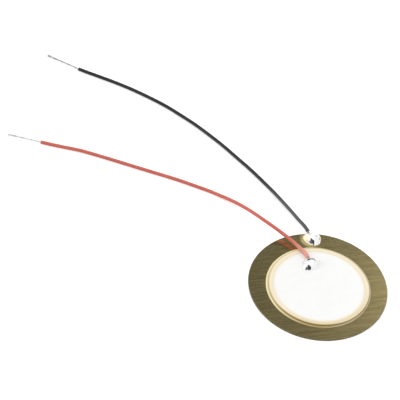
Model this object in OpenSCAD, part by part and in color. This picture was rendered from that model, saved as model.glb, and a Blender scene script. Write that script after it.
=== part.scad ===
// Piezo sounder element: a thin brass plate, a silvered ceramic disc bonded to it and two soldered leads.
// Millimetres. The origin is the centre of the plate's underside, +Z points out of the ceramic's side
// and +Y points from the centre to the joint at the plate's rim. The leads lie on the plane z = 0.

/* [Plate] */
// Diameter of the brass plate
plate_d = 27; // [25:0.5:32]
// Thickness of the brass plate
plate_t = 0.3; // [0.2:0.05:0.4]
// Radius that the punch rolls over the plate's upper rim
plate_roll_r = 0.06; // [0.02:0.01:0.1]

/* [Ceramic] */
// Diameter of the ceramic disc
ceramic_d = 19.5; // [18:0.25:20]
// Thickness of the ceramic disc
ceramic_t = 0.22; // [0.15:0.01:0.35]
// Bevel on the upper rim of the ceramic disc
ceramic_bevel = 0.03; // [0.01:0.01:0.06]
// How far along X the ceramic was set down off the plate's centre
ceramic_x = 0.15; // [-0.2:0.05:0.2]
// How far along Y the ceramic was set down off the plate's centre
ceramic_y = -0.25; // [-0.3:0.05:0.1]

/* [Electrodes] */
// Bare ceramic left round the top electrode
top_margin = 0.95; // [0.4:0.05:1.2]
// Bare ceramic left round the bottom electrode
bottom_margin = 0.3; // [0.2:0.05:1]
// Thickness of each layer of fired silver
silver_t = 0.01; // [0.01:0.005:0.03]

/* [Bond] */
// How far the printed patch of adhesive is larger than the ceramic, all round
bond_margin = 0.5; // [0.35:0.05:0.6]
// Thickness of the adhesive
bond_t = 0.02; // [0.01:0.005:0.05]
// Radius of the adhesive's fillet at the foot of the ceramic
bond_fillet_r = 0.1; // [0.05:0.01:0.12]
// How far along X the patch was printed off the plate's centre
bond_x = -0.05; // [-0.1:0.05:0.1]
// How far along Y the patch was printed off the plate's centre
bond_y = -0.25; // [-0.3:0.05:0]

/* [Solder] */
// Height of a solder bead
bead_h = 0.95; // [0.8:0.05:1.1]
// Radius of a bead's dome
bead_dome_r = 1.35; // [1.2:0.05:1.5]
// Radius of the concave foot where a bead wets the metal
bead_foot_r = 0.45; // [0.3:0.05:0.5]
// How much longer than round a bead is, along X
bead_stretch = 0.5; // [0.1:0.1:0.8]
// Metal left between the outer bead and the plate's rim
bead_rim_gap = 0.02; // [0:0.01:0.1]
// Where the inner bead sits along X
inner_bead_x = -1.15; // [-2:0.05:1]
// How far the middle of the inner bead is from the edge of the top electrode, along Y
inner_bead_inset = 3.55; // [3:0.05:6]

/* [Leads] */
// Outside diameter of the insulation
lead_d = 0.7; // [0.6:0.05:0.8]
// Diameter of the twisted and tinned strands
wire_d = 0.3; // [0.2:0.05:0.4]
// Height of the strands above the metal, at the middle of a bead
wire_rise = 0.35; // [0.3:0.05:0.5]
// How far solder creeps along the strands from the middle of a bead
creep_l = 1.4; // [1.2:0.05:1.5]
// Thickness of the solder where it ends on the strands
creep_t = 0.03; // [0.02:0.01:0.08]

/* [Hidden] */
$fn = 96;

// Heights of the faces in the stack
bond_z = plate_t;
film_z = bond_z + bond_t;
ceramic_z = film_z + silver_t;
ceramic_top = ceramic_z + ceramic_t;
electrode_top = ceramic_top + silver_t;

plate_r = plate_d / 2;
ceramic_r = ceramic_d / 2;
top_electrode_r = ceramic_r - top_margin;
bottom_electrode_r = ceramic_r - bottom_margin;
bond_r = ceramic_r + bond_margin;
wire_r = wire_d / 2;

// The dome and the foot of a bead are two arcs that run into each other, and this is where the foot ends
bead_r = sqrt(bead_h * (2 * (bead_dome_r + bead_foot_r) - bead_h));
dome_z = bead_h - bead_dome_r;
outer_bead = [0, plate_r - bead_r - bead_rim_gap, plate_t];
inner_bead = [inner_bead_x, ceramic_y + top_electrode_r - inner_bead_inset, electrode_top];

// Route of each lead. X and Y are measured from its bead and Z is the clearance under the lead.
// The insulation runs from the first point to the second last, and the last is the tip of the bare strands.
black_route = [
    [-0.6, 1.6, 0.6], [-2.4, 5.1, 0.58], [-4.2, 8.6, 0.34], [-6.1, 12.1, 0.1], [-8.2, 15.4, 0],
    [-10.5, 18.7, 0], [-12.9, 21.8, 0], [-15.3, 24.9, 0], [-17.9, 27.9, 0], [-20.6, 30.8, 0],
    [-23.5, 33.5, 0], [-26.5, 36.1, 0], [-29.7, 38.4, 0], [-33.1, 40.6, 0], [-36.5, 42.5, 0],
    [-40.1, 44.3, 0], [-43.6, 46.1, 0], [-49.8, 49.9, 0]];
red_route = [
    [-0.2, 1.6, 0.6], [-2.3, 5, 0.74], [-5.2, 7.9, 1.16], [-8.1, 10.7, 1.28], [-10.8, 13.7, 0.9],
    [-13.7, 16.5, 0.34], [-17, 18.8, 0], [-20.6, 20.6, 0], [-24.3, 22.3, 0], [-28, 23.8, 0],
    [-31.8, 25.3, 0], [-35.5, 26.8, 0], [-39.3, 28.3, 0], [-43.1, 29.7, 0], [-47, 30.7, 0],
    [-50.9, 31.8, 0], [-57.4, 33.8, 0]];

// A lead's tube is an octagon that is lead_d across its flats, with two rings to each stretch of its route
tube_sides = 8;
rings_per_stretch = 2;
tube_r = lead_d / 2 / cos(180 / tube_sides);

black = lead_points(outer_bead, black_route);
red = lead_points(inner_bead, red_route);

// The middle lines of a lead: the strands' inner end in the bead, then the points of the route
function lead_points(bead, route) =
    concat([bead + [0, 0, wire_rise]], [for (p = route) [bead[0] + p[0], bead[1] + p[1], p[2] + lead_d / 2]]);

function unit(v) = v / norm(v);

// Direction at point i: along the straight strands where the insulation ends, and along the curve elsewhere,
// but level where the lead rests on the plane z = 0
function heading(p, i) =
    i == 1 ? unit(p[1] - p[0])
    : i == len(p) - 2 ? unit(p[i + 1] - p[i])
    : let (d = p[i + 1] - p[i - 1]) unit([d[0], d[1], p[i][2] > lead_d / 2 ? d[2] : 0]);

// A cubic from point i to the next, and its direction
function curve_at(p, i, t) =
    let (l = norm(p[i + 1] - p[i]), a = l * heading(p, i), b = l * heading(p, i + 1))
    (1 + 2 * t) * (1 - t) * (1 - t) * p[i] + t * (1 - t) * (1 - t) * a
    + t * t * (3 - 2 * t) * p[i + 1] - t * t * (1 - t) * b;
function direction_at(p, i, t) =
    let (l = norm(p[i + 1] - p[i]), a = l * heading(p, i), b = l * heading(p, i + 1))
    unit(6 * t * (1 - t) * (p[i + 1] - p[i]) + (1 - t) * (1 - 3 * t) * a + t * (3 * t - 2) * b);

// Corners of the ring round point c, square to direction d
function ring(c, d, r) =
    let (side = unit(cross(d, [0, 0, 1])), up = cross(side, d))
    [for (k = [0:tube_sides - 1]) let (a = (k + 0.5) * 360 / tube_sides) c + r * (cos(a) * side + sin(a) * up)];

// The insulation: one closed tube along the route, between the two places where it was stripped
module insulation(p) {
    last = len(p) - 2;
    rings = concat(
        [for (i = [1:last - 1], k = [0:rings_per_stretch - 1])
            let (t = k / rings_per_stretch) ring(curve_at(p, i, t), direction_at(p, i, t), tube_r)],
        [ring(p[last], heading(p, last), tube_r)]);
    n = tube_sides;
    walls = [for (j = [0:len(rings) - 2], k = [0:n - 1])
        let (a = j * n + k, b = j * n + (k + 1) % n) each [[a, b, b + n], [a, b + n, a + n]]];
    start = [for (k = [n - 1:-1:0]) k];
    end = [for (k = [0:n - 1]) (len(rings) - 1) * n + k];
    polyhedron(points = [for (r = rings) each r], faces = concat([start, end], walls), convexity = 10);
}

// Places its children at point a, with +Z towards point b
module aim(a, b) {
    d = b - a;
    translate(a) rotate([0, acos(d[2] / norm(d)), atan2(d[1], d[0])]) children();
}

// A straight length of bare strands, as one round bar
module strands(a, b) {
    aim(a, b) cylinder(h = norm(b - a), r = wire_r);
}

// Half of the upright section of a bead: a dome that runs out in a concave foot
module bead_section() {
    joint_x = bead_r * bead_dome_r / (bead_dome_r + bead_foot_r);
    intersection() {
        translate([0, dome_z]) circle(r = bead_dome_r);
        square([joint_x, bead_h]);
    }
    difference() {
        square([bead_r, bead_foot_r]);
        translate([bead_r, bead_foot_r]) circle(r = bead_foot_r);
        square([joint_x, bead_foot_r]);
    }
}

// A bead of solder at a place, round the strands that it holds. The creep along them starts as thick
// as their height above the metal allows.
module bead(place, p) {
    difference() {
        union() {
            for (s = [-1, 1]) translate(place + [s * bead_stretch / 2, 0, 0])
                rotate([0, 0, -s * 90]) rotate_extrude(angle = 180) bead_section();
            translate(place) rotate([90, 0, 90]) linear_extrude(bead_stretch, center = true)
                for (m = [0, 1]) mirror([m, 0]) bead_section();
            aim(p[0], p[1]) cylinder(h = creep_l, r1 = wire_rise, r2 = wire_r + creep_t);
        }
        strands(p[0], p[1]);
    }
}

module brass_plate() {
    color([0.55, 0.49, 0.33]) rotate_extrude() {
        square([plate_r - plate_roll_r, plate_t]);
        square([plate_r, plate_t - plate_roll_r]);
        translate([plate_r - plate_roll_r, plate_t - plate_roll_r]) intersection() {
            circle(r = plate_roll_r);
            square(plate_roll_r);
        }
    }
}

module adhesive_bond() {
    color([0.9, 0.82, 0.58]) {
        translate([bond_x, bond_y, bond_z]) cylinder(h = bond_t, r = bond_r);
        translate([ceramic_x, ceramic_y, film_z]) rotate_extrude() {
            translate([bottom_electrode_r, 0]) square([bottom_margin, silver_t]);
            translate([ceramic_r, 0]) difference() {
                square(bond_fillet_r);
                translate([bond_fillet_r, bond_fillet_r]) circle(r = bond_fillet_r);
            }
        }
    }
}

module bottom_electrode() {
    color([0.85, 0.85, 0.84])
        translate([ceramic_x, ceramic_y, film_z]) cylinder(h = silver_t, r = bottom_electrode_r);
}

module ceramic_disc() {
    color([0.93, 0.88, 0.76]) translate([ceramic_x, ceramic_y, ceramic_z]) rotate_extrude()
        polygon([[0, 0], [ceramic_r, 0], [ceramic_r, ceramic_t - ceramic_bevel],
                 [ceramic_r - ceramic_bevel, ceramic_t], [0, ceramic_t]]);
}

module top_electrode() {
    color([0.93, 0.93, 0.92])
        translate([ceramic_x, ceramic_y, ceramic_top]) cylinder(h = silver_t, r = top_electrode_r);
}

module solder_on_plate() {
    color([0.8, 0.8, 0.8]) bead(outer_bead, black);
}

module solder_on_electrode() {
    color([0.8, 0.8, 0.8]) bead(inner_bead, red);
}

module black_insulation() {
    color([0.13, 0.13, 0.14]) insulation(black);
}

module black_wire_joint_end() {
    color([0.75, 0.74, 0.72]) strands(black[0], black[1]);
}

module black_wire_free_end() {
    color([0.75, 0.74, 0.72]) strands(black[len(black) - 2], black[len(black) - 1]);
}

module red_insulation() {
    color([0.8, 0.2, 0.18]) insulation(red);
}

module red_wire_joint_end() {
    color([0.75, 0.74, 0.72]) strands(red[0], red[1]);
}

module red_wire_free_end() {
    color([0.75, 0.74, 0.72]) strands(red[len(red) - 2], red[len(red) - 1]);
}

brass_plate();
adhesive_bond();
bottom_electrode();
ceramic_disc();
top_electrode();
solder_on_plate();
solder_on_electrode();
black_insulation();
black_wire_joint_end();
black_wire_free_end();
red_insulation();
red_wire_joint_end();
red_wire_free_end();
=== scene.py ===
import math

import bmesh
import bpy
from bpy.props import FloatProperty, FloatVectorProperty, IntProperty, PointerProperty
from mathutils import Matrix, Vector, noise


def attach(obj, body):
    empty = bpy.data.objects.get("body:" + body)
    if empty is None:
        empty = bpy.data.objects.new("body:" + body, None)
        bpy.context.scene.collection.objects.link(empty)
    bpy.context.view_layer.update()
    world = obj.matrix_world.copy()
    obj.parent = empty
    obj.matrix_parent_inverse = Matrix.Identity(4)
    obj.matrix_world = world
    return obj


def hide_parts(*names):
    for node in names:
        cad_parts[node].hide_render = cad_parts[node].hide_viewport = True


bl_info = {
    "name": "Piezo Disc",
    "version": (1, 0, 0),
    "blender": (4, 5, 0),
    "location": "View3D > Sidebar > Piezo Disc",
    "description": "Dresses a soldered piezo sounder element and sets up its studio",
    "category": "Object",
}

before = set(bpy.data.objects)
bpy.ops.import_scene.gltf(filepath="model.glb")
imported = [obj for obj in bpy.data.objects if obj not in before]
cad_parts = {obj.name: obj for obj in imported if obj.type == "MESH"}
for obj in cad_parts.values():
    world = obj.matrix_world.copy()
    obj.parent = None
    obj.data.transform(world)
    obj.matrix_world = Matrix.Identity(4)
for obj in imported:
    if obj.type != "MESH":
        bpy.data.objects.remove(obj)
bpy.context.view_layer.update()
MM = 0.001  # meshes and patterns are worked out in millimetres, and meshes are then scaled to metres

# Sizes and places in the CAD source's frame, in millimetres
PLATE_R = 13.5
PLATE_TOP = 0.3
BOND_MIDDLE = (0.04, -0.3)
BOND_TOP = 0.32
STACK_MIDDLE = (0.15, -0.25)
CERAMIC_R = 9.75
CERAMIC_FOOT = 0.33
CERAMIC_TOP = 0.55
SILVER_TOP = 0.56
LEAD_R = 0.35
WIRE_R = 0.15
WIRE_RISE = 0.35  # from the foot of a bead to the middle of its wire
BLACK_BEAD = (0.0, 11.8933, 0.3)
RED_BEAD = (-1.15, 5.0, 0.56)

DISC_SEGMENTS = 288  # faces round the plate, the adhesive, the ceramic and the silver
WHITE = (1, 1, 1)

# Each lead's route from the middle of its bead, in metres. Heights are those of the lead's underside.
BLACK_ROUTE = (
    (-0.0006, 0.0016, 0.0006), (-0.0024, 0.0051, 0.00058), (-0.0042, 0.0086, 0.00034),
    (-0.0061, 0.0121, 0.0001), (-0.0082, 0.0154, 0), (-0.0105, 0.0187, 0), (-0.0129, 0.0218, 0),
    (-0.0153, 0.0249, 0), (-0.0179, 0.0279, 0), (-0.0206, 0.0308, 0), (-0.0235, 0.0335, 0),
    (-0.0265, 0.0361, 0), (-0.0297, 0.0384, 0), (-0.0331, 0.0406, 0), (-0.0365, 0.0425, 0),
    (-0.0401, 0.0443, 0), (-0.0436, 0.0461, 0), (-0.0498, 0.0499, 0),
)
RED_ROUTE = (
    (-0.0002, 0.0016, 0.0006), (-0.0023, 0.005, 0.00074), (-0.0052, 0.0079, 0.00116),
    (-0.0081, 0.0107, 0.00128), (-0.0108, 0.0137, 0.0009), (-0.0137, 0.0165, 0.00034),
    (-0.017, 0.0188, 0), (-0.0206, 0.0206, 0), (-0.0243, 0.0223, 0), (-0.028, 0.0238, 0),
    (-0.0318, 0.0253, 0), (-0.0355, 0.0268, 0), (-0.0393, 0.0283, 0), (-0.0431, 0.0297, 0),
    (-0.047, 0.0307, 0), (-0.0509, 0.0318, 0), (-0.0574, 0.0338, 0),
)


# -------- node trees


class Value:
    """What a socket carries, so that node maths is written as Python expressions."""

    def __init__(self, tree, socket):
        self.tree, self.socket = tree, socket

    def out(self, name):
        """Another output of the same node."""
        return Value(self.tree, self.socket.node.outputs[name])

    def math(self, operation, *others):
        sockets = ("Value", "Value_001", "Value_002")
        return self.tree.node(
            "ShaderNodeMath", {"operation": operation}, dict(zip(sockets, (self, *others)))
        )

    def __add__(self, other):
        return self.math("ADD", other)

    def __sub__(self, other):
        return self.math("SUBTRACT", other)

    def __rsub__(self, other):
        return self.tree.number(other).math("SUBTRACT", self)

    def __mul__(self, other):
        return self.math("MULTIPLY", other)

    def __truediv__(self, other):
        return self.math("DIVIDE", other)

    __radd__ = __add__

    def smooth(self, low, high):
        """0 below low, 1 above high and smooth between them."""
        return self.tree.node(
            "ShaderNodeMapRange",
            {"interpolation_type": "SMOOTHSTEP"},
            {"Value": self, "From Min": low, "From Max": high},
        )


class Tree:
    """A node tree, with one method that makes any node."""

    def __init__(self, node_tree):
        self.node_tree = node_tree

    def node(self, kind, settings=None, sockets=None):
        """A node with its settings, and the values or links of its sockets by identifier."""
        made = self.node_tree.nodes.new(kind)
        for name, value in (settings or {}).items():
            setattr(made, name, value)
        by_identifier = {s.identifier: s for s in made.inputs}
        for name, value in (sockets or {}).items():
            socket = by_identifier[name]
            if isinstance(value, Value):
                self.node_tree.links.new(value.socket, socket)
            elif socket.type == "RGBA" and len(value) == 3:
                socket.default_value = (*value, 1)
            else:
                socket.default_value = value
        shown = [s for s in made.outputs if s.enabled]
        return Value(self, shown[0]) if shown else None

    def number(self, value):
        made = self.node("ShaderNodeValue")
        made.socket.default_value = value
        return made

    def vector(self, x, y, z):
        return self.node("ShaderNodeCombineXYZ", None, {"X": x, "Y": y, "Z": z})

    def parts(self, vector):
        split = self.node("ShaderNodeSeparateXYZ", None, {"Vector": vector})
        return split.out("X"), split.out("Y"), split.out("Z")

    def scaled(self, vector, factor):
        return self.node(
            "ShaderNodeVectorMath", {"operation": "SCALE"}, {"Vector": vector, "Scale": factor}
        )

    def vector_math(self, operation, first, second=(0, 0, 0)):
        return self.node(
            "ShaderNodeVectorMath", {"operation": operation}, {"Vector": first, "Vector_001": second}
        )

    def blend(self, mask, first, second):
        """The first colour where mask is 0 and the second where it is 1."""
        return self.node(
            "ShaderNodeMix",
            {"data_type": "RGBA"},
            {"Factor_Float": mask, "A_Color": first, "B_Color": second},
        )

    def noise(self, place, scale, detail=2.0, roughness=0.5):
        return self.node(
            "ShaderNodeTexNoise",
            None,
            {"Vector": place, "Scale": scale, "Detail": detail, "Roughness": roughness},
        )


class Surface(Tree):
    """A material with one Principled shader, whose patterns read Object coordinates in millimetres."""

    def __init__(self, name):
        self.material = bpy.data.materials.new(name)
        self.material.use_nodes = True
        super().__init__(self.material.node_tree)
        self.node_tree.nodes.clear()
        self.place = self.scaled(self.node("ShaderNodeTexCoord").out("Object"), 1 / MM)
        self.x, self.y, self.z = self.parts(self.place)

    def distance_from(self, x, y):
        """How far the surface is from an upright axis through x and y."""
        dx, dy = self.x - x, self.y - y
        return (dx * dx + dy * dy).math("SQRT")

    def bump(self, height, depth):
        """A relief that is depth millimetres deep where height goes from 0 to 1."""
        return self.node("ShaderNodeBump", None, {"Height": height, "Distance": depth * MM})

    def shade(self, **sockets):
        names = {name.replace("_", " "): value for name, value in sockets.items()}
        shader = self.node("ShaderNodeBsdfPrincipled", None, names)
        self.node("ShaderNodeOutputMaterial", None, {"Surface": shader})
        return self.material


class GeometryTree(Tree):
    """A Geometry Nodes group. Its inputs are given as names by kind, such as Float, and Material is added."""

    def __init__(self, name, **inputs):
        super().__init__(bpy.data.node_groups.new(name, "GeometryNodeTree"))
        self.node_tree.is_modifier = True
        sockets = self.node_tree.interface
        for kind, names in (*inputs.items(), ("Material", ("Material",))):
            for each in names:
                sockets.new_socket(each, in_out="INPUT", socket_type=f"NodeSocket{kind}")
        sockets.new_socket("Geometry", in_out="OUTPUT", socket_type="NodeSocketGeometry")
        self.given = self.node("NodeGroupInput")

    def finish(self, geometry):
        """Ends the group in real geometry with its material."""
        real = self.node("GeometryNodeRealizeInstances", None, {"Geometry": geometry})
        dressed = self.node(
            "GeometryNodeSetMaterial", None, {"Geometry": real, "Material": self.given.out("Material")}
        )
        self.node("NodeGroupOutput")
        self.node_tree.links.new(dressed.socket, self.node_tree.nodes[-1].inputs[0])
        return self.node_tree


# -------- mesh making


def grow(name, group, **values):
    """The plain mesh that a Geometry Nodes group makes from these inputs."""
    carrier = bpy.data.objects.new(name, bpy.data.meshes.new(name))
    bpy.context.scene.collection.objects.link(carrier)
    modifier = carrier.modifiers.new(name, "NODES")
    modifier.node_group = group
    identifiers = {i.name: i.identifier for i in group.interface.items_tree if i.in_out == "INPUT"}
    for key, value in values.items():
        modifier[identifiers[key.replace("_", " ").title()]] = value
    bpy.context.view_layer.update()
    evaluated = carrier.evaluated_get(bpy.context.evaluated_depsgraph_get())
    mesh = bpy.data.meshes.new_from_object(evaluated)
    mesh.name = name
    bpy.data.objects.remove(carrier)
    if not mesh.polygons:
        raise RuntimeError(f"{name}: its Geometry Nodes group made no faces")
    return mesh


def finish_mesh(mesh, material, sharp_angle=35):
    """Scales a mesh from millimetres to metres and gives it its material and its smooth faces."""
    mesh.transform(Matrix.Scale(MM, 4))
    mesh.materials.clear()
    mesh.materials.append(material)
    mesh.shade_smooth()
    mesh.set_sharp_from_angle(angle=math.radians(sharp_angle))
    return mesh


def add_piece(name, mesh, slot, *nodes):
    """Shows a mesh in place of CAD nodes."""
    piece = bpy.data.objects.new(name, mesh)
    bpy.context.scene.collection.objects.link(piece)
    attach(piece, "root")
    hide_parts(*nodes)
    return piece


def mesh_from_rings(name, rings):
    """One closed mesh over rings of points. A ring of one point is a pole."""
    shape = bmesh.new()
    made = [[shape.verts.new(p) for p in ring] for ring in rings]
    for low, high in zip(made, made[1:]):
        count = max(len(low), len(high))
        for k in range(count):
            after = (k + 1) % count
            corners = [low[k % len(low)], low[after % len(low)], high[after % len(high)], high[k % len(high)]]
            shape.faces.new(list(dict.fromkeys(corners)))
    bmesh.ops.recalc_face_normals(shape, faces=shape.faces)
    mesh = bpy.data.meshes.new(name)
    shape.to_mesh(mesh)
    shape.free()
    return mesh


def lathe(name, profile, segments, middle=(0, 0), tweak=None):
    """Turns (radius, height) points round an upright axis. tweak may move each point by its angle."""
    rings = []
    for radius, height in profile:
        ring = []
        for k in range(segments if radius else 1):
            angle = math.tau * k / segments
            r, z = tweak(radius, height, angle) if tweak else (radius, height)
            ring.append((middle[0] + r * math.cos(angle), middle[1] + r * math.sin(angle), z))
        rings.append(ring)
    return mesh_from_rings(name, rings)


def round_edge(radius, height, edge, steps):
    """Profile points of a rounded outer edge, from the side to the face, with a guard ring behind it."""
    points = []
    for k in range(steps + 1):
        angle = math.pi / 2 * k / steps
        points.append((radius - edge + edge * math.cos(angle), height - edge * (1 - math.sin(angle))))
    points.append((radius - 1.6 * edge, height))
    return points


def noise_round(angle, spread, seed=0):
    """Noise that closes on itself round a circle, finer as spread grows."""
    return noise.noise(Vector((spread * math.cos(angle), spread * math.sin(angle), seed)))


# -------- leads


class Route:
    """The centreline of a lead, with its bare strands at both ends, in millimetres."""

    STEPS = 12  # points to each stretch of the route

    def __init__(self, bead, route):
        self.inner = Vector(bead) + Vector((0, 0, WIRE_RISE))
        self.knots = [
            Vector((bead[0] + x / MM, bead[1] + y / MM, z / MM + LEAD_R)) for x, y, z in route
        ]
        self.tip = self.knots[-1]
        self.start, self.end = self.knots[0], self.knots[-2]
        knots = [self.inner] + self.knots
        points = []
        for i in range(1, len(knots) - 2):
            a, b = knots[i], knots[i + 1]
            length = (b - a).length
            out, into = self.heading(knots, i) * length, self.heading(knots, i + 1) * length
            for k in range(self.STEPS):
                t = k / self.STEPS
                u = 1 - t
                points.append(
                    (1 + 2 * t) * u * u * a + t * u * u * out + t * t * (3 - 2 * t) * b - t * t * u * into
                )
        self.points = points + [self.end]
        self.lengths = [0.0]
        for a, b in zip(self.points, self.points[1:]):
            self.lengths.append(self.lengths[-1] + (b - a).length)
        self.length = self.lengths[-1]
        self.sides = [self.direction(0).cross(Vector((0, 0, 1))).normalized()]
        for i in range(1, len(self.points)):
            along = self.direction(i)
            self.sides.append((self.sides[-1] - along * self.sides[-1].dot(along)).normalized())

    @staticmethod
    def heading(knots, i):
        """Where the route heads at a knot. It runs level where the lead lies on the table."""
        if i == 1:
            return (knots[1] - knots[0]).normalized()
        if i == len(knots) - 2:
            return (knots[i + 1] - knots[i]).normalized()
        way = knots[i + 1] - knots[i - 1]
        if knots[i].z <= LEAD_R:
            way.z = 0
        return way.normalized()

    def direction(self, i):
        if i == 0:
            return (self.start - self.inner).normalized()
        if i == len(self.points) - 1:
            return (self.tip - self.end).normalized()
        return (self.points[i + 1] - self.points[i - 1]).normalized()

    def ring(self, s, radius, sides):
        """A ring of points round the centreline at length s. Radius 0 gives its middle alone."""
        i = max(j for j in range(len(self.points) - 1) if self.lengths[j] <= s or j == 0)
        t = (s - self.lengths[i]) / (self.lengths[i + 1] - self.lengths[i])
        middle = self.points[i].lerp(self.points[i + 1], t)
        along = self.direction(i).lerp(self.direction(i + 1), t).normalized()
        side = self.sides[i].lerp(self.sides[i + 1], t)
        side = (side - along * side.dot(along)).normalized()
        up = side.cross(along)
        if radius == 0:
            return [middle]
        turns = [math.tau * k / sides for k in range(sides)]
        return [middle + radius * (math.cos(a) * side + math.sin(a) * up) for a in turns]


def insulation_mesh(name, route, look, seed):
    """The tube of insulation, fuller where the iron warmed it and cut square at both ends round its bore."""
    bore = WIRE_R + 0.012
    depth = 0.4  # how deep the bore is open at each end
    edge = 0.045  # rounding of the cut ends
    drawn_thin = 0.012  # largest share that the drawn tube is thinner by
    length = route.length

    def outer(s):
        warmed = look.swell * math.exp(-s / (look.swell_length / MM))
        drawn = drawn_thin * (0.5 + 0.5 * noise.noise(Vector((0.35 * s, seed, 0))))
        return LEAD_R * (1 + warmed - drawn)

    def cut_end(s, inwards):
        """Stations of a cut end at length s, from the middle of its bore to its rounded edge."""
        corner = outer(s)
        return [
            (s + inwards * depth, 0), (s + inwards * depth, bore), (s, bore), (s, corner - edge),
            (s + inwards * 0.3 * edge, corner - 0.3 * edge),
        ]

    count = int(length / look.ring_step)
    first, last = edge, length - edge
    stations = cut_end(0, 1)
    for k in range(count + 1):
        s = first + (last - first) * k / count
        stations.append((s, outer(s)))
    stations += reversed(cut_end(length, -1))
    return mesh_from_rings(name, [route.ring(s, r, look.sides) for s, r in stations])


def strands_tree(look):
    """Geometry Nodes for a lay of twisted strands along Z, which may open towards its tip."""
    tree = GeometryTree(
        "twisted_strands",
        Float=("Length", "Strand Radius", "Lay Length", "Opening"), Int=("Outer Strands",),
    )
    given = tree.given.out
    length, radius, count = given("Length"), given("Strand Radius"), given("Outer Strands")
    line = tree.node("GeometryNodeCurvePrimitiveLine", None, {"End": tree.vector(0, 0, length)})
    line = tree.node("GeometryNodeResampleCurve", None, {"Curve": line, "Count": look.strand_points})
    copies = tree.node(
        "GeometryNodeDuplicateElements", {"domain": "SPLINE"}, {"Geometry": line, "Amount": count}
    )
    height = tree.parts(tree.node("GeometryNodeInputPosition"))[2]
    index = copies.out("Duplicate Index")
    turn = (index / count + height / given("Lay Length")) * math.tau
    opened = (height / length).math("POWER", 3) * given("Opening")
    wander = (index * 2.4 + height * 0.9).math("SINE") * opened
    reach = radius * 2 + opened * radius * 1.5 + wander * radius
    offset = tree.vector(turn.math("COSINE") * reach, turn.math("SINE") * reach, 0)
    wound = tree.node("GeometryNodeSetPosition", None, {"Geometry": copies, "Offset": offset})
    both = tree.node("GeometryNodeJoinGeometry")
    for part in (line, wound):
        tree.node_tree.links.new(part.socket, both.socket.node.inputs[0])
    profile = tree.node(
        "GeometryNodeCurvePrimitiveCircle", None, {"Resolution": look.strand_sides, "Radius": radius}
    )
    strands = tree.node(
        "GeometryNodeCurveToMesh", None, {"Curve": both, "Profile Curve": profile, "Fill Caps": True}
    )
    return tree.finish(strands)


def strands_mesh(name, group, start, end, look, material, opening, droop):
    """Twisted strands from start to end, opening and sinking by droop towards their end."""
    length = (end - start).length
    mesh = grow(
        name, group, length=length, strand_radius=WIRE_R / 3, outer_strands=6,
        lay_length=look.lay_length / MM, opening=opening, material=material,
    )
    aim = (end - start).to_track_quat("Z", "Y").to_matrix().to_4x4()
    mesh.transform(Matrix.Translation(start) @ aim)
    for vertex in mesh.vertices:
        along = (vertex.co - start).dot((end - start) / length) / length
        vertex.co.z -= droop * max(along, 0) ** 2
    return mesh


# -------- solder


def solder_tree(look):
    """Geometry Nodes for a bead of solder: a dome, a side lobe and the creep along the wire, run together."""
    tree = GeometryTree(
        "solder_bead",
        Float=("Back Reach", "Stretch", "Lean", "Ridge", "Foot", "Ripple", "Ripple Place"),
        Vector=("Top Place", "Top Radii", "Lobe Place", "Lobe Radii", "Wire Start", "Wire End"),
    )
    given = tree.given.out
    place = tree.node("GeometryNodeInputPosition")
    softness = 0.3  # how gently one form runs into the next
    trim = 0.02  # taken off all round, so that the foot ends and leaves no film on the metal
    tiny = 0.001  # keeps the distance from dividing by zero
    creep_r, creep_taper = 0.34, 0.16
    box_low, box_high = (-2.4, -2.4, -0.15), (2.4, 2.2, 1.25)

    def ellipsoid(middle, radii, back=None, stretch=None, lean=None, ridge=None):
        """Distance to an ellipsoid. It may reach less far back, be stretched, lean and have a ridge."""
        x, y, z = tree.parts(tree.vector_math("SUBTRACT", place, middle))
        rx, ry, rz = tree.parts(radii)
        if back:
            ry = ry + y.math("GREATER_THAN", 0) * (back - ry)
            x = x - lean * y
            z = z + (1 - (y.math("ABSOLUTE") * -2).math("EXPONENT")) * ridge
            x = x - x.math("MAXIMUM", stretch * -0.5).math("MINIMUM", stretch * 0.5)
        once = tree.vector(x / rx, y / ry, z / rz)
        twice = tree.vector(x / rx / rx, y / ry / ry, z / rz / rz)
        near = tree.vector_math("LENGTH", once).out("Value")
        return (near + tiny) * (near - 1) / (tree.vector_math("LENGTH", twice).out("Value") + tiny)

    top = ellipsoid(
        given("Top Place"), given("Top Radii"),
        given("Back Reach"), given("Stretch"), given("Lean"), given("Ridge"),
    )
    lobe = ellipsoid(given("Lobe Place"), given("Lobe Radii"))
    start = given("Wire Start")
    axis = tree.vector_math("SUBTRACT", given("Wire End"), start)
    away = tree.vector_math("SUBTRACT", place, start)
    span = tree.vector_math("DOT_PRODUCT", axis, axis).out("Value")
    part = tree.vector_math("DOT_PRODUCT", away, axis).out("Value") / span
    part = part.math("MAXIMUM", 0).math("MINIMUM", 1)
    nearest = tree.vector_math("ADD", start, tree.scaled(axis, part))
    creep = tree.vector_math("DISTANCE", place, nearest).out("Value") - (creep_r - part * creep_taper)
    body = top.math("SMOOTH_MIN", lobe, softness).math("SMOOTH_MIN", creep, softness)
    shifted = tree.vector_math("ADD", place, tree.vector(given("Ripple Place"), 0, 0))
    rough = tree.noise(shifted, 1.1, detail=1.0)
    body = body + (rough - 0.5) * given("Ripple")
    z = tree.parts(place)[2]
    wetted = body.math("SMOOTH_MIN", z, given("Foot")) + trim
    solid = wetted.math("MAXIMUM", z * -1)
    density = (0.5 - solid * 3).math("MAXIMUM", 0).math("MINIMUM", 1)
    cells = {
        f"Resolution {letter}": int((high - low) / look.bead_voxel)
        for letter, low, high in zip("XYZ", box_low, box_high)
    }
    volume = tree.node(
        "GeometryNodeVolumeCube", None, {"Density": density, "Min": box_low, "Max": box_high} | cells
    )
    bead = tree.node("GeometryNodeVolumeToMesh", None, {"Volume": volume, "Threshold": 0.5})
    return tree.finish(bead)


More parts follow.
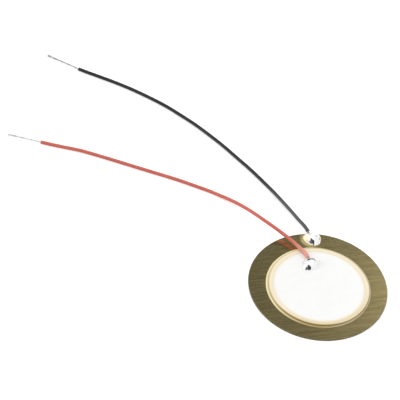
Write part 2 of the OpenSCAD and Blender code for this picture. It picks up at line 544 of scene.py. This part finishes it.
def solder_mesh(name, group, bead, route, look, material, **shape):
    """A bead of solder at its place, with a flat base on the metal."""
    base = Vector(bead)
    wire = route.inner - base
    along = (route.start - route.inner).normalized()
    creep_length = 1.45
    mesh = grow(
        name, group, foot=look.foot / MM, ripple=look.ripple / MM, wire_start=tuple(wire),
        wire_end=tuple(wire + along * creep_length), material=material, **shape,
    )
    for vertex in mesh.vertices:
        if vertex.co.z < 0.5 * look.bead_voxel:
            vertex.co.z = 0
    mesh.transform(Matrix.Translation(base))
    return mesh


# -------- materials


def brass_material(look):
    """Rolled brass: long fine grain, faint clouds of tarnish, a painted reflection of the bead round the
    joint and a darker cut edge.
    """
    s = Surface("rolled_brass")
    cosine, sine = math.cos(look.grain_angle), math.sin(look.grain_angle)
    along, across = s.x * cosine + s.y * sine, s.y * cosine - s.x * sine
    wide = s.noise(s.vector(along * 0.14, across * 4.4, s.z), 1.0, detail=4.0, roughness=0.7)
    fine = s.noise(s.vector(along * 0.3, across * 14.0, s.z), 1.0, detail=2.0, roughness=0.6)
    clouds = s.noise(s.place, 0.25, detail=2.0)
    grain = wide * 0.6 + fine * 0.4
    tone = (grain - 0.5) * 4.2 + (clouds - 0.5) * 0.3 + 0.5
    colour = s.blend(tone.smooth(0, 1), look.dark, look.light)
    # Painted reflection: the brass is paler and brighter in a ring round the bright bead.
    bead_reflection = 1 - s.distance_from(BLACK_BEAD[0] - 0.2, BLACK_BEAD[1] + 0.1).smooth(1.45, 2.35)
    colour = s.blend(bead_reflection * 0.6, colour, look.bead_reflection_colour)
    rim = s.distance_from(0, 0).smooth(PLATE_R - 0.1, PLATE_R - 0.06)
    colour = s.blend(rim, colour, look.cut)
    return s.shade(
        Base_Color=colour,
        Metallic=1.0,
        Roughness=(grain - 0.5) * 0.02 + look.roughness + rim * 0.25 + bead_reflection * 0.15,
        Normal=s.bump(grain, 0.0008),
    )


def ceramic_material(look):
    """Fired ceramic: matte cream with a fine bloom, with painted shade beside the silver, near its edge at
    the front and on its edge and side.
    """
    s = Surface("piezo_ceramic")
    bloom = s.noise(s.place, 3.0, detail=4.0, roughness=0.6)
    colour = s.blend(bloom.smooth(0.35, 0.65), look.colour, look.bloom)
    radius = s.distance_from(*STACK_MIDDLE)
    # Painted shade: a dull ring along the edge of the silver print.
    shade_beside_silver = radius.smooth(8.7, 8.85) * (1 - radius.smooth(9.0, 9.3))
    colour = s.blend(shade_beside_silver * 0.7, colour, look.dull)
    # Painted shade: the band near the edge is darker towards the front.
    front = (s.x * 0.26 - s.y * 0.97).smooth(3, 8.5)
    colour = s.blend(front * radius.smooth(8.8, 9.3) * 0.7, colour, look.shaded_front)
    # Painted shade on the upper edge, at the left and the front.
    right = (s.x * 0.87 - s.y * 0.5).smooth(5.5, 8.5)
    near = (s.x * -0.26 - s.y * 0.97).smooth(6, 9.3)
    edge = radius.smooth(CERAMIC_R - 0.3, CERAMIC_R - 0.05)
    colour = s.blend(edge * ((1 - right) * 0.33 + near * 0.5), colour, look.wall)
    # The side is a little darker all round, where adhesive has been taken in, and much darker towards the
    # front as painted shade.
    side = 1 - s.z.smooth(0.46, 0.545)
    colour = s.blend(side * ((s.x * 0.3 - s.y).smooth(-3, 7) * 0.7 + 0.3), colour, look.wall)
    return s.shade(Base_Color=colour, Roughness=0.55, Normal=s.bump(bloom, 0.004))


def silver_material(look):
    """Fired silver paste: a matte white metal that keeps the weave of the printing screen."""
    s = Surface("fired_silver")
    weave = (s.x * 20).math("SINE") * (s.y * 20).math("SINE")
    clouds = s.noise(s.place, 0.6, detail=3.0)
    colour = s.blend(clouds.smooth(0.3, 0.7), look.colour, look.cloud)
    thin = s.distance_from(*STACK_MIDDLE).smooth(8.3, 8.8)
    colour = s.blend(thin * 0.6, colour, look.edge)
    return s.shade(
        Base_Color=colour,
        Metallic=0.15,
        Roughness=0.5 + (clouds - 0.5) * 0.1,
        Normal=s.bump(weave * 0.5 + 0.5, 0.0015),
    )


def adhesive_material(look):
    """Cured adhesive: glossy and amber where the brass shows through it, its tone round the ring partly its
    thickness and partly painted light, with a painted shadow at its foot.
    """
    s = Surface("cured_adhesive")
    # Tone round the ring: palest at the left, darkest at the front, between at the right. It is partly the
    # adhesive's thickness and partly painted light from the left.
    right = (s.x * 0.97 - s.y * 0.26).smooth(0, 8)
    colour = s.blend(right, look.thin, look.milky)
    left = (s.y * 0.35 - s.x * 0.94).smooth(-3.5, 10)
    colour = s.blend(left, colour, look.thick)
    # Painted shadow in the gap at the foot of the ceramic.
    inner = 1 - s.distance_from(*STACK_MIDDLE).smooth(CERAMIC_R + 0.07, CERAMIC_R + 0.27)
    colour = s.blend(inner * 0.6, colour, look.inner)
    return s.shade(Base_Color=colour, Roughness=0.25)


def solder_material(look):
    """Bright solder with a faint frost, and a dull, yellow film of flux on one flank of the outer joint."""
    s = Surface("solder")
    frost = s.noise(s.place, 6.0, detail=3.0, roughness=0.6)
    colour = s.blend(frost, look.colour, look.frost)
    flux = 1 - s.distance_from(BLACK_BEAD[0] - 1.35, BLACK_BEAD[1]).smooth(0.4, 1.2)
    return s.shade(
        Base_Color=s.blend(flux, colour, look.flux),
        Metallic=1.0,
        Roughness=0.08 + frost * 0.14 + flux * 0.45,
        Normal=s.bump(frost, 0.004),
    )


def strand_material(look):
    """Tinned copper strands, duller towards the black lead's free end."""
    s = Surface("tinned_strands")
    tin = s.noise(s.place, 4.0, detail=3.0, roughness=0.6)
    worn = s.y.smooth(36, 46)
    return s.shade(
        Base_Color=s.blend(tin.smooth(0.4, 0.7) * 0.5 + worn * 0.5, look.tin, look.tin_dull),
        Metallic=1.0,
        Roughness=0.22 + tin * 0.2,
    )


def insulation_material(name, shades, joint, highlight_reach, roughness):
    """Soft plastic with a satin skin and faint handling marks, paler near the joint as a painted highlight.
    """
    s = Surface(name)
    # The last shade is a painted highlight near the joint.
    fresh, worn, warmed = shades
    skin = s.noise(s.place, 2.5, detail=4.0, roughness=0.6)
    marks = s.noise(s.place, 0.35, detail=2.0)
    colour = s.blend(marks.smooth(0.35, 0.75), fresh, worn)
    # Painted highlight: paler near the joint, fading with distance.
    bloom = (1 - s.distance_from(joint[0], joint[1]).smooth(*highlight_reach)) * (0.6 + skin * 0.6)
    return s.shade(
        Base_Color=s.blend(bloom, colour, warmed),
        Roughness=roughness + (skin - 0.5) * 0.15,
        Specular_IOR_Level=0.4,
        Normal=s.bump(skin, 0.006),
    )


# -------- settings


def colour_setting(name, description, default):
    return FloatVectorProperty(name=name, description=description, subtype="COLOR", default=default)


class PlateLook(bpy.types.PropertyGroup):
    """Looks of the brass plate"""

    light: colour_setting("Light Brass", "Colour of the bright grain", (0.69, 0.57, 0.27))
    dark: colour_setting("Dark Brass", "Colour of the dull grain", (0.46, 0.38, 0.175))
    # Painted reflection of the bright bead, round the joint.
    bead_reflection_colour: colour_setting(
        "Bead Reflection Brass", "Colour of the brass round the solder joint", (0.90, 0.72, 0.36)
    )
    cut: colour_setting("Cut Brass", "Colour of the edge that the punch has cut", (0.17, 0.14, 0.075))
    grain_angle: FloatProperty(
        name="Grain Angle", description="Direction of the rolling grain from +X", subtype="ANGLE",
        unit="ROTATION", default=math.radians(9),
    )
    roughness: FloatProperty(
        name="Roughness", description="Mean roughness of the rolled face", subtype="FACTOR", min=0,
        max=1, default=0.24,
    )


class StackLook(bpy.types.PropertyGroup):
    """Looks of the adhesive, the ceramic and the silver"""

    colour: colour_setting("Ceramic", "Colour of the fired ceramic", (0.90, 0.79, 0.57))
    bloom: colour_setting("Ceramic Bloom", "Colour of the paler patches of ceramic", (0.90, 0.81, 0.61))
    # Painted shade along the edge of the silver print.
    dull: colour_setting(
        "Dull Ceramic", "Colour of the ceramic just outside the silver", (0.83, 0.76, 0.60)
    )
    # Painted shade near the ceramic's edge at the front.
    shaded_front: colour_setting(
        "Shaded Ceramic Front", "Colour of the ceramic near its edge at the front", (0.74, 0.62, 0.37)
    )
    # The ceramic's side and edge: adhesive taken in, and painted shade.
    wall: colour_setting(
        "Ceramic Wall", "Colour of the ceramic's side and edge: adhesive taken in, and painted shade", (0.32, 0.22, 0.045)
    )
    # The adhesive tones differ round the ring partly by thickness and partly by painted light from the left.
    thick: colour_setting("Thick Adhesive", "Colour of adhesive where it is thick", (0.93, 0.81, 0.47))
    thin: colour_setting("Thin Adhesive", "Colour of adhesive where it is thin", (0.42, 0.31, 0.12))
    milky: colour_setting(
        "Milky Adhesive", "Colour of thin adhesive where it is milky", (0.56, 0.47, 0.28)
    )
    # Painted shadow at the foot of the ceramic.
    inner: colour_setting(
        "Inner Adhesive", "Colour of adhesive at the foot of the ceramic", (0.40, 0.30, 0.13)
    )


class SilverLook(bpy.types.PropertyGroup):
    """Looks of the silver electrodes"""

    colour: colour_setting("Silver", "Colour of the fired silver", (0.95, 0.95, 0.94))
    edge: colour_setting(
        "Silver Edge", "Colour of the thin edge of the print, where the ceramic shows through",
        (0.90, 0.80, 0.58),
    )
    cloud: colour_setting("Silver Clouds", "Colour of its duller patches", (0.93, 0.93, 0.92))


class SolderLook(bpy.types.PropertyGroup):
    """Shape and looks of the solder beads"""

    colour: colour_setting("Solder", "Colour of bright solder", (0.93, 0.93, 0.93))
    frost: colour_setting("Frost", "Colour of frosted solder", (0.84, 0.84, 0.85))
    flux: colour_setting("Flux", "Colour of solder under a film of flux", (0.93, 0.86, 0.64))
    foot: FloatProperty(
        name="Foot", description="How far the foot of a bead runs out", subtype="DISTANCE",
        unit="LENGTH", default=0.5 * MM, precision=5,
    )
    ripple: FloatProperty(
        name="Ripple", description="Depth of the unevenness of a bead", subtype="DISTANCE",
        unit="LENGTH", default=0.12 * MM, precision=5,
    )
    bead_voxel: FloatProperty(
        name="Fineness", description="Size of the cells a bead is made from, in millimetres",
        default=0.035,
    )


class LeadLook(bpy.types.PropertyGroup):
    """Shape and looks of the leads"""

    black: colour_setting("Black", "Colour of the black insulation", (0.006, 0.006, 0.0065))
    black_worn: colour_setting(
        "Worn Black", "Colour of the black insulation where it was handled", (0.012, 0.012, 0.0125)
    )
    # Painted highlight on the black insulation near its joint.
    black_highlight: colour_setting(
        "Black Highlight", "Colour of the black insulation near the joint", (0.08, 0.08, 0.08)
    )
    # Painted highlight on the red insulation near its joint.
    red_highlight: colour_setting(
        "Red Highlight", "Colour of the red insulation near the joint", (0.75, 0.33, 0.26)
    )
    red: colour_setting("Red", "Colour of the red insulation", (0.59, 0.12, 0.088))
    red_worn: colour_setting(
        "Worn Red", "Colour of the red insulation where it was handled", (0.64, 0.14, 0.10)
    )
    tin: colour_setting("Tinned Strands", "Colour of the tinned strands", (0.90, 0.90, 0.90))
    tin_dull: colour_setting("Dull Strands", "Colour where the tin is thin", (0.28, 0.275, 0.27))
    swell: FloatProperty(
        name="Swell", description="How much the insulation has swollen at the joint", subtype="FACTOR",
        min=0, max=0.2, default=0.06,
    )
    swell_length: FloatProperty(
        name="Swell Length", description="How far from the joint the swelling reaches",
        subtype="DISTANCE", unit="LENGTH", default=6 * MM, precision=4,
    )
    lay_length: FloatProperty(
        name="Lay Length", description="Length of one full turn of the strands", subtype="DISTANCE",
        unit="LENGTH", default=2.6 * MM, precision=4,
    )
    sides: IntProperty(name="Sides", description="Faces round the insulation", min=8, default=24)
    ring_step: FloatProperty(
        name="Ring Step", description="Distance between rings of the insulation, in millimetres",
        default=0.4,
    )
    strand_sides: IntProperty(name="Strand Sides", description="Faces round each strand", min=5, default=8)
    strand_points: IntProperty(
        name="Strand Points", description="Points along each strand", min=4, default=48,
    )


class StageLook(bpy.types.PropertyGroup):
    """Camera, lamps and surroundings"""

    camera_place: FloatVectorProperty(
        name="Camera Place", description="Where the camera stands", subtype="TRANSLATION", unit="LENGTH",
        default=(-0.08580, -0.31052, 0.35690), precision=5,
    )
    azimuth: FloatProperty(
        name="Azimuth", description="How far the camera is turned from looking along +Y",
        subtype="ANGLE", unit="ROTATION", default=math.radians(11),
    )
    elevation: FloatProperty(
        name="Elevation", description="How steeply the camera looks down", subtype="ANGLE",
        unit="ROTATION", default=math.radians(46.4786),
    )
    roll: FloatProperty(
        name="Roll", description="How far the camera is rolled", subtype="ANGLE", unit="ROTATION",
        default=math.radians(9.1626),
    )
    focal_length: FloatProperty(
        name="Focal Length", description="Focal length on a sensor 36 mm wide, in millimetres",
        default=225,
    )
    room: FloatProperty(
        name="Room Level", description="Brightness of the white surroundings", min=0, default=1.03,
    )
    gap: FloatProperty(
        name="Gap Level", description="Brightness of the gap between backdrop and softbox", min=0,
        default=0.03,
    )
    camera_shade: FloatProperty(
        name="Camera Shade", description="Brightness of the camera and its stand", min=0, default=0.05,
    )
    softbox: FloatProperty(
        name="Softbox Level", description="Brightness of the overhead softbox", min=0, default=1.4,
    )
    softbox_size: FloatProperty(
        name="Softbox Size", description="Width of the overhead softbox", subtype="DISTANCE",
        unit="LENGTH", default=0.3,
    )
    softbox_place: FloatVectorProperty(
        name="Softbox Place", description="Where the overhead softbox hangs", subtype="TRANSLATION",
        unit="LENGTH", default=(0.0, 0.05, 0.5), precision=4,
    )
    side: FloatProperty(
        name="Side Lamp Level", description="Brightness of the lamp at the left", min=0, default=10,
    )
    side_size: FloatProperty(
        name="Side Lamp Size", description="Width of the lamp at the left", subtype="DISTANCE",
        unit="LENGTH", default=0.12,
    )
    side_place: FloatVectorProperty(
        name="Side Lamp Place", description="Where the lamp at the left stands", subtype="TRANSLATION",
        unit="LENGTH", default=(-0.446, 0.079, 0.211), precision=4,
    )
    card: FloatProperty(
        name="Card Level", description="Brightness of the card behind the disc", min=0, default=1.22,
    )
    card_size: FloatProperty(
        name="Card Size", description="Width of the card behind the disc", subtype="DISTANCE",
        unit="LENGTH", default=0.14,
    )
    card_place: FloatVectorProperty(
        name="Card Place", description="Where the card stands", subtype="TRANSLATION", unit="LENGTH",
        default=(0.1377, 0.15, 0.172), precision=4,
    )
    card_turn: FloatProperty(
        name="Card Turn", description="How far the card is turned about its own middle", subtype="ANGLE",
        unit="ROTATION", default=math.radians(41),
    )
    floor_glow: FloatProperty(
        name="Floor Glow", description="How much of the floor's white is its own", min=0, default=0.42,
    )
    floor_radius: FloatProperty(
        name="Floor Radius", description="Radius of the floor", subtype="DISTANCE", unit="LENGTH",
        default=4.0,
    )


class DiscSettings(bpy.types.PropertyGroup):
    """All settings of the piezo disc"""

    plate: PointerProperty(type=PlateLook)
    stack: PointerProperty(type=StackLook)
    silver: PointerProperty(type=SilverLook)
    solder: PointerProperty(type=SolderLook)
    leads: PointerProperty(type=LeadLook)
    stage: PointerProperty(type=StageLook)


def settings(context):
    return context.scene.piezo_disc


# -------- operators


class MakeStage(bpy.types.Operator):
    """Set up the camera, the floor, the lamps and the surroundings"""

    bl_idname = "piezo_disc.stage"
    bl_label = "Stage"

    def execute(self, context):
        look = settings(context).stage
        self.add_camera(context, look)
        self.add_floor(context, look)
        self.add_lamp(context, "softbox", look.softbox, look.softbox_size, look.softbox_place)
        self.add_lamp(context, "card", look.card, look.card_size, look.card_place, look.card_turn)
        self.add_lamp(context, "side", look.side, look.side_size, look.side_place)
        self.fill_world(context, look)
        context.scene.view_settings.view_transform = "Standard"
        return {"FINISHED"}

    def add_camera(self, context, look):
        data = bpy.data.cameras.new("camera")
        data.sensor_width = 36
        data.lens = look.focal_length
        camera = bpy.data.objects.new("camera", data)
        camera.matrix_world = (
            Matrix.Translation(look.camera_place)
            @ Matrix.Rotation(-look.azimuth, 4, "Z")
            @ Matrix.Rotation(math.pi / 2 - look.elevation, 4, "X")
            @ Matrix.Rotation(look.roll, 4, "Z")
        )
        context.scene.collection.objects.link(camera)
        context.scene.camera = camera

    def add_floor(self, context, look):
        """A white floor, which keeps the disc's shadow nearby and is plain white further off."""
        height = -0.01  # just under the disc, so that the two don't share a plane
        profile = [(0, height), (200, height), (look.floor_radius / MM, height)]
        s = Surface("floor")
        white = s.node("ShaderNodeEmission", None, {"Color": WHITE, "Strength": 1.0})
        glow = s.node("ShaderNodeEmission", None, {"Color": WHITE, "Strength": look.floor_glow})
        paper = s.node("ShaderNodeBsdfDiffuse", None, {"Color": (0.8, 0.8, 0.8)})
        near = s.node("ShaderNodeAddShader", None, {"Shader": glow, "Shader_001": paper})
        ray = s.node("ShaderNodeLightPath")
        seen = ray.out("Is Camera Ray").math("MAXIMUM", ray.out("Is Glossy Ray"))
        seen = seen.math("MAXIMUM", ray.out("Is Transmission Ray"))
        far = s.distance_from(0, 0).smooth(120, 400)
        shown = s.node("ShaderNodeMixShader", None, {"Fac": far, "Shader": near, "Shader_001": white})
        both = s.node("ShaderNodeMixShader", None, {"Fac": seen, "Shader": paper, "Shader_001": shown})
        s.node("ShaderNodeOutputMaterial", None, {"Surface": both})
        floor = bpy.data.objects.new("floor", finish_mesh(lathe("floor", profile, 96), s.material))
        context.scene.collection.objects.link(floor)

    def add_lamp(self, context, name, level, size, place, turn=0.0):
        """A square lamp that faces the disc, with its brightness as level."""
        data = bpy.data.lights.new(name, "AREA")
        data.size = size
        data.energy = level * math.pi * size**2
        lamp = bpy.data.objects.new(name, data)
        facing = Vector(place).to_track_quat("Z", "Y").to_matrix().to_4x4()
        lamp.matrix_world = Matrix.Translation(place) @ facing @ Matrix.Rotation(turn, 4, "Z")
        lamp.visible_camera = False
        context.scene.collection.objects.link(lamp)

    def fill_world(self, context, look):
        """White surroundings, with a dark gap and a camera on its stand for bright metal to mirror."""
        world = bpy.data.worlds.new("studio")
        world.use_nodes = True
        world.node_tree.nodes.clear()
        t = Tree(world.node_tree)
        x, y, z = t.parts(t.node("ShaderNodeTexCoord").out("Generated"))
        gap = z.smooth(0.58, 0.64) * (1 - z.smooth(0.85, 0.90)) * (x * 0.27 + y * 0.96).smooth(0.27, 0.5)
        side, front, low = x.math("ABSOLUTE"), y * -1, 1 - z
        camera = 1 - (side - front * 0.3 - low * low * low * 0.8).smooth(0.04, 0.1)
        camera = camera * front.smooth(-0.06, 0) * z.smooth(0.1, 0.16)
        between_legs = 1 - (side + (z - 0.5) * 0.8).smooth(-0.04, 0.04)
        camera = camera * (1 - between_legs)
        level = t.number(look.room) * (1 - gap * (1 - look.gap / look.room))
        level = level * (1 - camera * (1 - look.camera_shade))
        lit = t.node("ShaderNodeBackground", None, {"Color": WHITE, "Strength": level})
        white = t.node("ShaderNodeBackground", None, {"Color": WHITE, "Strength": 1.0})
        ray = t.node("ShaderNodeLightPath").out("Is Camera Ray")
        both = t.node("ShaderNodeMixShader", None, {"Fac": ray, "Shader": lit, "Shader_001": white})
        t.node("ShaderNodeOutputWorld", None, {"Surface": both})
        context.scene.world = world


class MakeLeads(bpy.types.Operator):
    """Make the two insulated leads and their bare, twisted strands"""

    bl_idname = "piezo_disc.leads"
    bl_label = "Leads"

    def execute(self, context):
        look = settings(context).leads
        tinned, lay = strand_material(look), strands_tree(look)
        black = insulation_material(
            "black_insulation", (look.black, look.black_worn, look.black_highlight), BLACK_BEAD,
            highlight_reach=(7, 19), roughness=0.35,
        )
        red = insulation_material(
            "red_insulation", (look.red, look.red_worn, look.red_highlight), RED_BEAD,
            highlight_reach=(2.5, 7.5), roughness=0.38,
        )
        self.make(look, "black", Route(BLACK_BEAD, BLACK_ROUTE), black, tinned, lay, seed=3.0, droop=0.03)
        self.make(look, "red", Route(RED_BEAD, RED_ROUTE), red, tinned, lay, seed=8.0, droop=0.06)
        return {"FINISHED"}

    def make(self, look, colour, route, skin, tinned, lay, seed, droop):
        """One lead: its insulation and the strands at its two ends."""
        mesh = insulation_mesh(f"{colour}_insulation_skin", route, look, seed)
        insulation = add_piece(
            f"{colour}_lead", finish_mesh(mesh, skin, 50), f"{colour}_insulation", f"{colour}_insulation"
        )
        hidden = 0.3  # length of strands inside the insulation
        into_joint = (route.start - route.inner).normalized()
        into_tip = (route.tip - route.end).normalized()
        for where, start, end, opening, sag in (
            ("joint", route.inner, route.start + into_joint * hidden, 0.0, 0.0),
            ("free", route.end - into_tip * hidden, route.tip, 1.0, droop),
        ):
            name = f"{colour}_strands_{where}_end"
            mesh = strands_mesh(name, lay, start, end, look, tinned, opening, sag)
            add_piece(name, finish_mesh(mesh, tinned), "tinned_strands", f"{colour}_wire_{where}_end")
        [tuple(p * MM) for p in route.points]


class MakePlate(bpy.types.Operator):
    """Make the brass plate, with the rolled and sheared edge that the punch leaves"""

    bl_idname = "piezo_disc.plate"
    bl_label = "Brass Plate"

    def execute(self, context):
        look = settings(context).plate
        torn_r = PLATE_R - 0.02  # the torn foot of the edge stands in from the sheared part
        profile = [(0, 0), (torn_r - 0.05, 0), (torn_r - 0.012, 0), (torn_r, 0.008), (torn_r, 0.09)]
        profile += [(PLATE_R, 0.11)] + round_edge(PLATE_R, PLATE_TOP, 0.06, 6) + [(0, PLATE_TOP)]

        def torn(r, z, angle):
            if 0.05 < z < 0.1:
                z += 0.018 * noise_round(angle, 9)
            return r, z

        mesh = lathe("plate", profile, DISC_SEGMENTS, tweak=torn)
        add_piece("plate", finish_mesh(mesh, brass_material(look)), "brass", "brass_plate")
        return {"FINISHED"}


class MakeStack(bpy.types.Operator):
    """Make the adhesive and the ceramic disc"""

    bl_idname = "piezo_disc.stack"
    bl_label = "Adhesive and Ceramic"

    def execute(self, context):
        look = settings(context).stack
        self.make_ceramic(look)
        self.make_adhesive(look)
        return {"FINISHED"}

    def make_ceramic(self, look):
        """The fired disc, its upper edge chipped here and there."""
        profile = [(0, CERAMIC_FOOT), (CERAMIC_R, CERAMIC_FOOT)]
        profile += round_edge(CERAMIC_R, CERAMIC_TOP, 0.03, 3) + [(0, CERAMIC_TOP)]

        def chipped(r, z, angle):
            if z > 0.45 and r > CERAMIC_R - 0.1:
                r -= 0.05 * max(0, noise_round(angle, 30, 3) - 0.35)
            return r, z

        mesh = lathe("ceramic", profile, DISC_SEGMENTS, STACK_MIDDLE, chipped)
        add_piece("ceramic", finish_mesh(mesh, ceramic_material(look)), "ceramic", "ceramic_disc")

    def make_adhesive(self, look):
        """The printed patch under the ceramic, its edge uneven where it was squeezed out."""
        reach = 10.2
        still = 9.95  # inside this radius the patch is even
        profile = [(0, PLATE_TOP), (reach, PLATE_TOP)] + round_edge(reach, BOND_TOP, 0.015, 3)
        profile += [(still, BOND_TOP), (0, BOND_TOP)]

        def squeezed(r, z, angle):
            if r > still:
                r += 0.03 * noise_round(angle, 4) - 0.02
            return r, z

        mesh = lathe("adhesive", profile, DISC_SEGMENTS, BOND_MIDDLE, squeezed)
        add_piece("adhesive", finish_mesh(mesh, adhesive_material(look)), "adhesive", "adhesive_bond")


class MakeElectrodes(bpy.types.Operator):
    """Make the printed silver electrodes"""

    bl_idname = "piezo_disc.electrodes"
    bl_label = "Silver Electrodes"

    def execute(self, context):
        silver = silver_material(settings(context).silver)
        radius = 8.78
        profile = [(0, CERAMIC_TOP), (radius, CERAMIC_TOP)]
        profile += round_edge(radius, SILVER_TOP, 0.008, 3) + [(0, SILVER_TOP)]

        def printed(r, z, angle):
            if r > radius - 0.1:
                r += 0.02 * noise_round(angle, 14)
            return r, z

        mesh = lathe("silver", profile, DISC_SEGMENTS, STACK_MIDDLE, printed)
        add_piece("silver_print", finish_mesh(mesh, silver), "fired_silver", "top_electrode")
        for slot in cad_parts["bottom_electrode"].material_slots:
            slot.link = "OBJECT"
            slot.material = silver
        return {"FINISHED"}


class MakeSolder(bpy.types.Operator):
    """Make the two solder joints"""

    bl_idname = "piezo_disc.solder"
    bl_label = "Solder Joints"

    def execute(self, context):
        look = settings(context).solder
        solder, group = solder_material(look), solder_tree(look)
        plate_shape = dict(
            top_place=(0.15, 0.65, -0.25), top_radii=(1.5, 1.85, 1.42), back_reach=0.9, stretch=0.4,
            lean=0.0, ridge=0.08, lobe_place=(0.5, -0.4, -0.1), lobe_radii=(1.1, 1.0, 0.42),
            ripple_place=5.2,
        )
        electrode_shape = dict(
            top_place=(0.45, 0.9, -0.25), top_radii=(1.3, 2.15, 1.27), back_reach=0.7, stretch=0.7,
            lean=0.4, ridge=0.05, lobe_place=(-0.4, 0.5, -0.1), lobe_radii=(0.8, 0.7, 0.3),
            ripple_place=11.8,
        )
        for name, bead, points, shape in (
            ("solder_on_plate", BLACK_BEAD, BLACK_ROUTE, plate_shape),
            ("solder_on_electrode", RED_BEAD, RED_ROUTE, electrode_shape),
        ):
            mesh = solder_mesh(name, group, bead, Route(bead, points), look, solder, **shape)
            add_piece(f"{name}_bead", finish_mesh(mesh, solder, 60), "solder", name)
        return {"FINISHED"}


class DiscPanel(bpy.types.Panel):
    """The operators and settings of the piezo disc"""

    bl_idname = "VIEW3D_PT_piezo_disc"
    bl_label = "Piezo Disc"
    bl_space_type = "VIEW_3D"
    bl_region_type = "UI"
    bl_category = "Piezo Disc"

    def draw(self, context):
        for group, operator in (
            ("stage", MakeStage), ("leads", MakeLeads), ("plate", MakePlate),
            ("stack", MakeStack), ("silver", MakeElectrodes), ("solder", MakeSolder),
        ):
            box = self.layout.box()
            box.operator(operator.bl_idname)
            looks = getattr(settings(context), group)
            for name in type(looks).__annotations__:
                box.prop(looks, name)


CLASSES = (
    PlateLook, StackLook, SilverLook, SolderLook, LeadLook, StageLook, DiscSettings,
    MakeStage, MakeLeads, MakePlate, MakeStack, MakeElectrodes, MakeSolder, DiscPanel,
)


def register():
    for cls in CLASSES:
        bpy.utils.register_class(cls)
    bpy.types.Scene.piezo_disc = PointerProperty(type=DiscSettings)


def unregister():
    del bpy.types.Scene.piezo_disc
    for cls in reversed(CLASSES):
        bpy.utils.unregister_class(cls)


def main():
    register()
    bpy.ops.piezo_disc.stage()
    bpy.ops.piezo_disc.leads()
    bpy.ops.piezo_disc.plate()
    bpy.ops.piezo_disc.stack()
    bpy.ops.piezo_disc.electrodes()
    bpy.ops.piezo_disc.solder()


if __name__ == "__main__":
    main()
